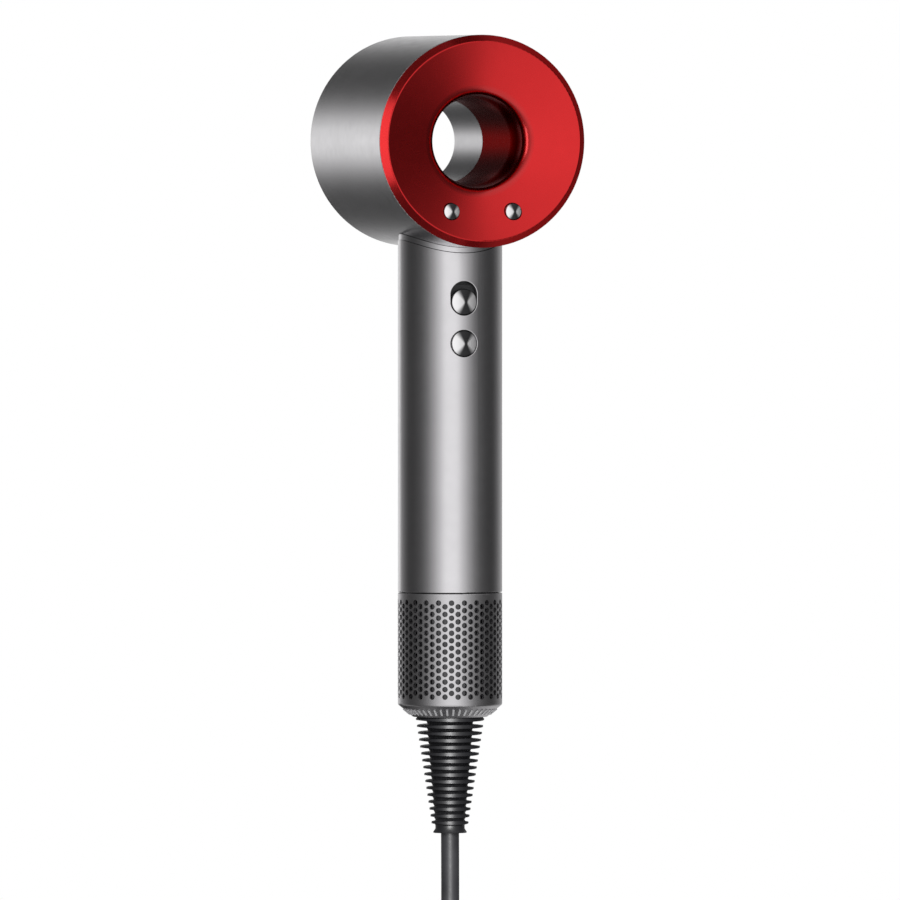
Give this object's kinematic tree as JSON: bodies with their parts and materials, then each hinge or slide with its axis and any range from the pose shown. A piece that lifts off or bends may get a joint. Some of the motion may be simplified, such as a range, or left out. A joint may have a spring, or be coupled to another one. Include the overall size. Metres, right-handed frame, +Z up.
{
  "type": "hair dryer",
  "caption": "Ring-head hair dryer: short barrel with an open bore, motor in a straight handle, perforated intake cage, ribbed strain relief and mains cord.",
  "frame": {"origin": "middle of the grip, on the handle's axis", "axes": "+Z up the handle towards the head, +Y the way the air blows, +X to the right seen from the controls"},
  "size_m": [0.077, 0.0969, 0.602],
  "materials": {
    "satin_nickel": "satin metallic lacquer",
    "red_satin": "satin metallic red lacquer",
    "spun_metal": "spun, fine circular brushing",
    "black_rubber": "matte",
    "cord_sheath": "smooth matte",
    "tie_strap": "matte strap",
    "pin_plating": "plated brass",
    "dark_plastic": "moulded, fine texture",
    "machined_alloy": "machined",
    "steel": "bright steel",
    "magnet": "nickel plated",
    "heater_wire": "oxidised resistance wire",
    "mica_board": "pressed mica",
    "circuit_board": "solder mask",
    "copper_winding": "enamelled copper",
    "foam": "open-cell foam",
    "wire_insulation": "smooth"
  },
  "bodies": {
    "root": {"air_guide": "dark_plastic", "attachment_magnets": "magnet", "bearings": "steel", "board_components": "dark_plastic", "board_screws": "steel", "carrier_screws": "steel", "clamp_screws": "steel", "control_board": "circuit_board", "cool_shot_spring": "steel", "cool_shot_switch": "dark_plastic", "cord_clamp": "dark_plastic", "cord_drop": "cord_sheath", "cord_hank": "cord_sheath", "cord_tail": "cord_sheath", "cord_tie": "tie_strap", "diffuser_frame": "dark_plastic", "filter_core": "dark_plastic", "filter_mesh": "steel", "front_ring": "satin_nickel", "handle_tube": "satin_nickel", "handle_wires": "wire_insulation", "head_leads": "wire_insulation", "head_shell": "satin_nickel", "heat_shield": "steel", "heater_coils": "heater_wire", "heater_frame": "mica_board", "inner_sleeve": "satin_nickel", "ion_emitter": "dark_plastic", "lead_in_cord": "cord_sheath", "lower_mount_ring": "black_rubber", "motor_board": "circuit_board", "motor_shroud": "dark_plastic", "neck_collar": "satin_nickel", "neck_duct": "dark_plastic", "outlet_grille": "dark_plastic", "plug_body": "cord_sheath", "plug_boot": "cord_sheath", "plug_pins": "pin_plating", "power_switch_block": "dark_plastic", "rear_funnel": "red_satin", "rear_gasket": "black_rubber", "silencer_foam": "foam", "stator_core": "steel", "stator_windings": "copper_winding", "strain_relief": "black_rubber", "switch_board": "circuit_board", "switch_carrier": "dark_plastic", "tact_switches": "dark_plastic", "thermal_fuse": "dark_plastic", "thermistor": "dark_plastic", "upper_frame": "dark_plastic", "upper_mount_ring": "black_rubber"},
    "speed_button": {"speed_button": "spun_metal"},
    "heat_button": {"heat_button": "spun_metal"},
    "power_slider": {"power_slider": "spun_metal"},
    "cool_shot_button": {"cool_shot_button": "spun_metal"},
    "rotor": {"impeller": "machined_alloy", "rotor_shaft": "steel", "rotor_magnet": "magnet"},
    "filter_cage": {"filter_cage": "satin_nickel"}
  },
  "joints": [
    {"name": "speed_button_press", "type": "slide", "parent": "root", "child": "speed_button", "axis": [0, 1, 0], "range_m": [0, 0.0008], "stiffness_N_per_m": 600},
    {"name": "heat_button_press", "type": "slide", "parent": "root", "child": "heat_button", "axis": [0, 1, 0], "range_m": [0, 0.0008], "stiffness_N_per_m": 600},
    {"name": "power_slide", "type": "slide", "parent": "root", "child": "power_slider", "axis": [0, 0, 1], "range_m": [0, 0.0026]},
    {"name": "cool_shot_press", "type": "slide", "parent": "root", "child": "cool_shot_button", "axis": [0, 1, 0], "range_m": [0, 0.0012], "stiffness_N_per_m": 600, "deforming": ["cool_shot_spring"]},
    {"name": "impeller_spin", "type": "hinge", "parent": "root", "child": "rotor", "pos_m": [0, 0, 0], "axis": [0, 0, 1], "continuous": true},
    {"name": "filter_cage_slide", "type": "slide", "parent": "root", "child": "filter_cage", "axis": [0, 0, -1], "range_m": [0, 0.05]}
  ]
}
